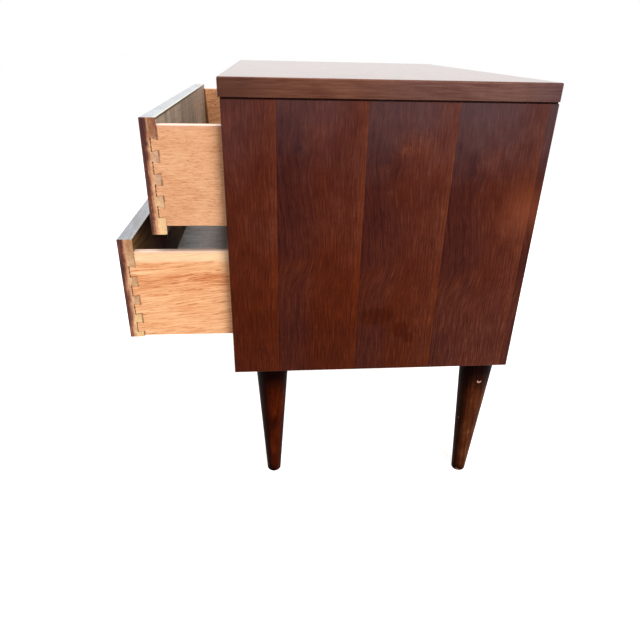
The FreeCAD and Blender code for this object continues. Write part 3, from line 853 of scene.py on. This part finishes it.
def slab_between(low, high):
    """A block between two corners."""
    bm = bmesh.new()
    bmesh.ops.create_cube(bm, size=1)
    bmesh.ops.scale(bm, vec=high - low, verts=bm.verts[:])
    bmesh.ops.translate(bm, vec=(low + high) / 2, verts=bm.verts[:])
    return bm


def ease(bm, wanted, width, segments):
    """Rounds the edges that satisfy a test."""
    edges = [edge for edge in bm.edges if wanted(edge)]
    shape = {"profile": 0.5, "affect": "EDGES", "clamp_overlap": True, "material": -1}
    bmesh.ops.bevel(bm, geom=edges, offset=width, segments=segments, **shape)


def add_to(bm, part):
    """Moves one bmesh into another."""
    bmesh.ops.recalc_face_normals(part, faces=part.faces[:])
    carrier = bpy.data.meshes.new("carrier")
    part.to_mesh(carrier)
    part.free()
    bm.from_mesh(carrier)
    bpy.data.meshes.remove(carrier)


def sharp(edge):
    return len(edge.link_faces) == 2 and edge.calc_face_angle(0) > math.radians(30)


def level_edge(height):
    """A test for sharp edges that lie at a height."""
    return lambda edge: sharp(edge) and all(abs(vert.co.z - height) < NEAR for vert in edge.verts)


def extruded_verts(bm, faces):
    """Extrudes faces and returns the new vertices."""
    made = bmesh.ops.extrude_face_region(bm, geom=faces)
    return [item for item in made["geom"] if isinstance(item, bmesh.types.BMVert)]


def new_object(name, data):
    thing = bpy.data.objects.new(name, data)
    bpy.context.collection.objects.link(thing)
    return thing


def add_piece(name, bm, body, materials, stands_for=(), even=True):
    """Turns a bmesh into a finished piece that rides on its body."""
    bmesh.ops.recalc_face_normals(bm, faces=bm.faces[:])
    for face in bm.faces:
        face.smooth = True
    mesh = bpy.data.meshes.new(name)
    bm.to_mesh(mesh)
    bm.free()
    for material in materials:
        mesh.materials.append(material)
    piece = new_object(name, mesh)
    if even:
        weighted = piece.modifiers.new("even_shading", "WEIGHTED_NORMAL")
        weighted.mode = "FACE_AREA"
        weighted.weight = 90
    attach(piece, body)
    if stands_for:
        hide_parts(*stands_for)


def dress(material, *nodes):
    """Gives solids shown as they are their finish."""
    for node in nodes:
        data = frame["nodes"][node].data
        if len(data.materials):
            frame["nodes"][node].material_slots[0].material = material
        else:
            data.materials.append(material)


def body_of(node):
    return next(body for body, members in frame["record"]["behaviour"]["bodies"].items() if node in members)


def eased_board(node, width, finishes, part_of=None):
    """A finished board over its solid, with eased edges.

    finishes holds the material of each part of the board, and part_of names the part that a face belongs to,
    from the face's middle and normal.
    """
    bm = from_solid(node)
    if part_of:
        parts = list(finishes)
        bm.normal_update()
        for face in bm.faces:
            face.material_index = parts.index(part_of(face.calc_center_median(), face.normal))
    ease(bm, sharp, width, 2)
    add_piece(f"{node}_board", bm, body_of(node), finishes.values(), (node,))


def top_slab():
    """The top: rounded corners, a rounded upper edge and a barely eased lower one."""
    low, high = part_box("top_slab")
    bm = slab_between(low, high)
    bm.normal_update()
    half_height = (high.z - low.z) / 2
    ease(bm, lambda edge: abs(edge.verts[0].co.z - edge.verts[1].co.z) > half_height, 3 * MM, 6)
    ease(bm, level_edge(high.z), 2 * MM, 5)
    ease(bm, level_edge(low.z), 0.4 * MM, 2)
    bm.normal_update()
    for face in bm.faces:
        if abs(face.calc_center_median().z - high.z) < 0.1 * MM:
            face.material_index = 0
        else:
            face.material_index = 1 if abs(face.normal.x) > abs(face.normal.y) else 2
    add_piece("top_slab_board", bm, "case", (TOP, EDGE, LONG_EDGE), ("top_slab",))


def leg(node):
    """A turned leg with a smooth taper and a rounded foot."""
    low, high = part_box(node)
    centre = (low + high) / 2
    bm = bmesh.new()
    outline = ((0, 0), (LEG_FOOT_RADIUS, 0), ((high.x - low.x) / 2, high.z), (0, high.z))
    profile = [bm.verts.new((radius, 0, height)) for radius, height in outline]
    edges = [bm.edges.new(pair) for pair in zip(profile, profile[1:])]
    turn = {"cent": (0, 0, 0), "axis": (0, 0, 1), "angle": math.tau, "steps": 72, "use_merge": True}
    bmesh.ops.spin(bm, geom=profile + edges, **turn)
    bmesh.ops.remove_doubles(bm, verts=bm.verts[:], dist=MERGED)
    bmesh.ops.recalc_face_normals(bm, faces=bm.faces[:])
    ease(bm, level_edge(0), 3 * MM, 6)
    ease(bm, level_edge(high.z), 0.5 * MM, 2)
    bmesh.ops.translate(bm, vec=Vector((centre.x, centre.y, 0)), verts=bm.verts[:])
    add_piece(f"{node}_turned", bm, "case", (LEGS,), (node,))


def drawer(prefix, oak, inner):
    """Finished boards of one drawer."""
    face_low, face_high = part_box(f"{prefix}_front")
    side_low, side_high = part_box(f"{prefix}_side_right")
    near = 1 * MM
    groove_depth = 5 * MM
    steep = 0.7

    def front_part(middle, normal):
        if abs(normal.x) > steep:
            return "ends" if abs(middle.x) > face_high.x - near else "hidden"
        if normal.z > steep:
            return "rim" if middle.z > face_high.z - near else "hidden"
        if normal.y > steep:
            return "inner" if middle.y > face_high.y - near else "hidden"
        in_groove = middle.y > face_low.y + groove_depth and middle.z > face_low.z + near
        return "hidden" if in_groove else "face"

    def side_part(middle, normal):
        if middle.y < side_low.y + TAIL_LENGTH and abs(normal.x) < steep:
            return "hidden"
        if normal.x * middle.x < 0 and abs(normal.x) > steep:
            return "inner"
        return "rim" if normal.z > 0.3 and middle.z > side_high.z - 3 * near else "outer"

    front_finish = {
        "face": FACE, "ends": drawer_end(prefix), "inner": inner, "rim": front_rim(prefix), "hidden": GAP
    }
    eased_board(f"{prefix}_front", 0.35 * MM, front_finish, front_part)
    side_finish = {"outer": oak, "rim": OAK_RIM, "hidden": GAP, "inner": oak_inside(prefix)}
    for side, _ in SIDES:
        eased_board(f"{prefix}_side_{side}", 0.3 * MM, side_finish, side_part)
        dress(RAW, f"{prefix}_guide_cheek_{side}")
    dress(oak, f"{prefix}_back")
    dress(PLY, f"{prefix}_bottom")
    dress(RAW, f"{prefix}_stop_tabs")
    bow_pull(f"{prefix}_pull", prefix)
    glue_lumps(prefix)


def glue_lumps(prefix):
    """Dried glue in short stretches of the open lines at the tips of the tails."""
    low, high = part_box(f"{prefix}_side_right")
    chance = random.Random(prefix)
    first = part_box(f"{prefix}_front")[1].z - CORNERS[prefix].first_tail
    reach = 7 * MM
    deep = 3 * MM
    for side, sign in SIDES:
        bm = bmesh.new()
        for number in range(TAILS):
            middle = first - number * TAIL_PITCH
            at = middle - reach + chance.uniform(0.5, 2.5) * MM
            while at < middle + reach - 2 * MM:
                length = chance.uniform(1.4, 3.6) * MM
                near = Vector((high.x - deep, low.y - TIP_GAP, at))
                far = Vector((high.x - chance.uniform(0.1, 0.4) * MM, low.y, at + length))
                lump = slab_between(near, far)
                ease(lump, sharp, 0.25 * MM, 2)
                bmesh.ops.scale(lump, vec=(sign, 1, 1), verts=lump.verts[:])
                add_to(bm, lump)
                at += length + chance.uniform(1.6, 3.4) * MM
        add_piece(f"{prefix}_glue_{side}", bm, prefix, (GLUE,), even=False)


def bow_pull(node, body):
    """A bow pull: an arc swept by a spin, closed by its hollow and rounded all round."""
    low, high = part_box(node)
    outer_arc = ((high.x - low.x) / 2, high.y - low.y)
    hollow_arc = (40 * MM, 12 * MM)
    bm = bmesh.new()
    ends = []
    for span, depth in (outer_arc, hollow_arc):
        radius = (span * span + depth * depth) / (2 * depth)
        start = bm.verts.new((-span, high.y, low.z))
        turn = {"cent": (0, high.y - depth + radius, low.z), "axis": (0, 0, 1), "steps": 28}
        made = bmesh.ops.spin(bm, geom=[start], angle=2 * math.asin(span / radius), **turn)
        ends.append((start, made["geom_last"][0]))
    for outer, hollow in zip(*ends):
        bm.edges.new((outer, hollow))
    bmesh.ops.contextual_create(bm, geom=bm.edges[:])
    verts = extruded_verts(bm, bm.faces[:])
    bmesh.ops.translate(bm, vec=Vector((0, 0, high.z - low.z)), verts=verts)
    bmesh.ops.recalc_face_normals(bm, faces=bm.faces[:])
    off_front = high.y - NEAR
    ease(bm, lambda edge: sharp(edge) and any(vert.co.y < off_front for vert in edge.verts), 2.5 * MM, 4)
    add_piece(f"{node}_bow", bm, body, (PULL,), (node,))


def screws(name, body, places, outward, radius, height, material):
    """Round screw heads with domed rims as one piece, flat on a surface. outward points away from it."""
    bm = bmesh.new()
    turn = Vector((0, 0, 1)).rotation_difference(Vector(outward)).to_matrix().to_4x4()
    for place in places:
        head = bmesh.new()
        bmesh.ops.create_circle(head, cap_ends=True, radius=radius, segments=24)
        bmesh.ops.translate(head, vec=Vector((0, 0, height)), verts=extruded_verts(head, head.faces[:]))
        bmesh.ops.recalc_face_normals(head, faces=head.faces[:])
        ease(head, level_edge(height), height * 0.45, 3)
        bmesh.ops.transform(head, matrix=Matrix.Translation(place) @ turn, verts=head.verts[:])
        add_to(bm, head)
    add_piece(name, bm, body, (material,), even=False)


def case_screws():
    """Screws round the edge of the back panel and under the rails that carry the top."""
    low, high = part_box("back_panel")
    inset = 9 * MM
    rows = [(x, z) for x in (-0.2, 0, 0.2) for z in (low.z + inset, high.z - inset)]
    heights = [low.z + share * (high.z - low.z) for share in (0.13, 0.5, 0.87)]
    rows += [(sign * (high.x - inset / 2), z) for _, sign in SIDES for z in heights]
    places = [Vector((x, high.y - SUNK, z)) for x, z in rows]
    screws("back_panel_screws", "case", places, (0, 1, 0), 3.2 * MM, 0.6 * MM, ZINC)
    places = []
    for node in ("top_front_rail", "top_back_rail"):
        low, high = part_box(node)
        places += [Vector((x, (low.y + high.y) / 2, low.z + SUNK)) for x in (-0.22, 0, 0.22)]
    screws("top_rail_screws", "case", places, (0, 0, -1), 4 * MM, 1.4 * MM, ZINC)


def drawer_screws(prefix):
    """Screws of the stop tabs, and of the pull, which are driven from inside the drawer."""
    low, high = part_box(f"{prefix}_stop_tabs")
    heights = [(low.z + high.z) / 2 + step * 5 * MM for step in (-1, 1)]
    places = [Vector((sign * 0.15, high.y - SUNK, z)) for _, sign in SIDES for z in heights]
    screws(f"{prefix}_tab_screws", prefix, places, (0, 1, 0), 2.2 * MM, 1 * MM, ZINC)
    low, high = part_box(f"{prefix}_pull")
    inner_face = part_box(f"{prefix}_front")[1].y
    places = [Vector((sign * 52 * MM, inner_face - SUNK, (low.z + high.z) / 2)) for _, sign in SIDES]
    screws(f"{prefix}_pull_screws", prefix, places, (0, 1, 0), 3.5 * MM, 1.8 * MM, TARNISHED)


top_slab()
case_screws()
for prefix in CORNERS:
    drawer_screws(prefix)
for side, _ in SIDES:
    eased_board(f"side_panel_{side}", 0.5 * MM, {"veneer": VENEER})
for node in frame["nodes"]:
    if node.startswith(("leg_front", "leg_back")):
        leg(node)
drawer("upper_drawer", OAK_FINE, INNER)
drawer("lower_drawer", OAK_WAVY, INNER_SHADED)
dress(ZINC, "leg_bolts")
dress(SHEET, "back_panel")
dress(SHEET_FLAT, "bottom_panel")
dress(FACE, "base_front_rail", "top_rail_facing")
dress(RAW_CROSS, "top_front_rail", "top_back_rail", "divider_front_rail", "divider_back_rail")
dress(RAW, "closing_stops", "upper_centre_rail", "upper_guide", "lower_guide")
dress(RAW, *[node for node in frame["nodes"] if "runner" in node or "kicker" in node])


# Studio


def light_paths(tree):
    """1 for rays that show the surroundings as a picture: camera, glossy and transmission rays."""
    node = add_node(tree, "LightPath", {})
    seen = Field(tree, node.outputs["Is Camera Ray"])
    for title in ("Is Glossy Ray", "Is Transmission Ray"):
        seen = seen.math("MAXIMUM", Field(tree, node.outputs[title]))
    return seen


def studio_world(level):
    """A white world that lights the object at a lower level."""
    world = bpy.data.worlds.new("studio")
    bpy.context.scene.world = world
    world.use_nodes = True
    tree = world.node_tree
    tree.nodes.clear()
    strength = (light_paths(tree) * (1 - level)) + level
    show(tree, "World", add_node(tree, "Background", {"Color": WHITE, "Strength": strength}))


def studio_floor(lift):
    """A plain pale floor, lifted to white where it is seen."""
    bm = bmesh.new()
    bmesh.ops.create_grid(bm, x_segments=4, y_segments=4, size=30)
    mesh = bpy.data.meshes.new("floor")
    bm.to_mesh(mesh)
    bm.free()
    tree = new_material("pale_floor")
    diffuse = add_node(tree, "BsdfDiffuse", {"Color": (0.8, 0.8, 0.8, 1)})
    glow = add_node(tree, "Emission", {"Strength": light_paths(tree) * lift})
    both = {place: Field(tree, node.outputs[0]) for place, node in enumerate((diffuse, glow))}
    show(tree, "Material", add_node(tree, "AddShader", both))
    mesh.materials.append(bpy.data.materials["pale_floor"])
    new_object("floor", mesh)


def softbox(name, place, target, size, power):
    """A square area light that faces a target."""
    data = bpy.data.lights.new(name, "AREA")
    data.shape = "RECTANGLE"
    data.size = size
    data.size_y = size
    data.energy = power
    lamp = new_object(name, data)
    lamp.location = place
    lamp.rotation_euler = (Vector(target) - Vector(place)).to_track_quat("-Z", "Y").to_euler()


def camera():
    """Looks at the right-hand side from a little in front of its middle, just above the top."""
    low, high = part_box("top_slab")
    place = Vector((high.x + 0.660868, low.y + 0.05648, high.z + 0.034987))
    yaw, pitch, roll = 0.097875, 0.46968, 0.024939
    ahead = Vector((-math.cos(pitch) * math.cos(yaw), math.cos(pitch) * math.sin(yaw), -math.sin(pitch)))
    level = ahead.cross(Vector((0, 0, 1))).normalized()
    rise = level.cross(ahead)
    right = math.cos(roll) * level + math.sin(roll) * rise
    up = -math.sin(roll) * level + math.cos(roll) * rise
    turned = Matrix((right, up, -ahead)).transposed().to_4x4()
    data = bpy.data.cameras.new("camera")
    data.sensor_width = 36
    data.lens = 30.698
    data.clip_start = 0.01
    lens = new_object("camera", data)
    lens.matrix_world = Matrix.Translation(place) @ turned
    bpy.context.scene.camera = lens


studio_world(0.27)
studio_floor(0.78)
softbox("key", (2.2, 0.8, 1.4), (0.1, 0, 0.35), 1, 47)
softbox("overhead", (0, -0.3, 2.4), (0, -0.1, 0), 1.6, 54)
softbox("fill", (-0.7, -2.3, 1), (0, 0, 0.35), 1.4, 12)
camera()
bpy.context.scene.view_settings.view_transform = "Standard"
